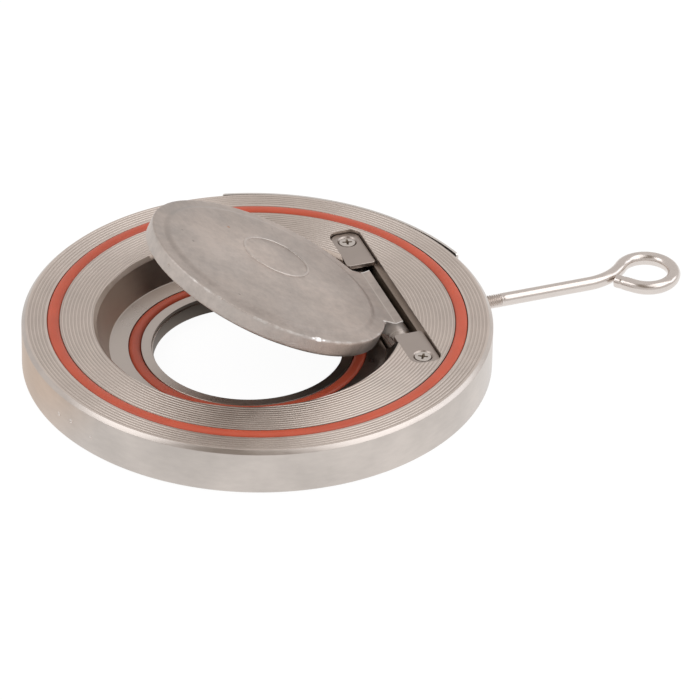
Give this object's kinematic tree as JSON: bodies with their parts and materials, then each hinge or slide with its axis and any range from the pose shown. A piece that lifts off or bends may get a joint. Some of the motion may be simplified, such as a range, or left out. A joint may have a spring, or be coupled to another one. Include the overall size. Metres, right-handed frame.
{
  "type": "wafer check valve",
  "caption": "Thin wafer check valve: grooved ring clamped between pipe flanges, a hinged disc closing an off-centre bore, and an eye bolt in the rim for lowering it.",
  "frame": {"origin": "centre of the body ring: on the rim's axis, at mid-thickness", "axes": "+Z downstream, out of the face that the disc opens through; +X from the ring's centre through the hinge to the eye bolt; the hinge axis is parallel to Y"},
  "size_m": [0.2405, 0.1641, 0.056],
  "materials": {
    "machined_stainless": "turned stainless steel, fine concentric lay, satin",
    "silicone": "orange-red silicone rubber, smooth, semi-matt",
    "seat_silicone": "orange-red silicone rubber, smooth, semi-matt",
    "cast_stainless": "investment-cast stainless steel, blasted matt with worn bright edges",
    "keeper_steel": "milled stainless flat, satin",
    "screw_steel": "bright stainless screws",
    "bright_bar": "polished stainless round bar",
    "plate_sheet": "blank satin stainless sheet",
    "rivet_steel": "bright drive rivets"
  },
  "bodies": {
    "valve_body": {"body": "machined_stainless", "outlet_flange_o_ring": "silicone", "inlet_flange_o_ring": "silicone", "seat_o_ring": "seat_silicone", "far_keeper_plate": "keeper_steel", "near_keeper_plate": "keeper_steel", "keeper_screws": "screw_steel", "eye_bolt": "bright_bar", "data_plate": "plate_sheet", "plate_rivets": "rivet_steel"},
    "disc": {"disc": "cast_stainless"}
  },
  "joints": [
    {"name": "disc_swing", "type": "hinge", "parent": "valve_body", "child": "disc", "pos_m": [0.0465, 0, 0], "axis": [0, 1, 0], "range_deg": [-26, 34]}
  ]
}
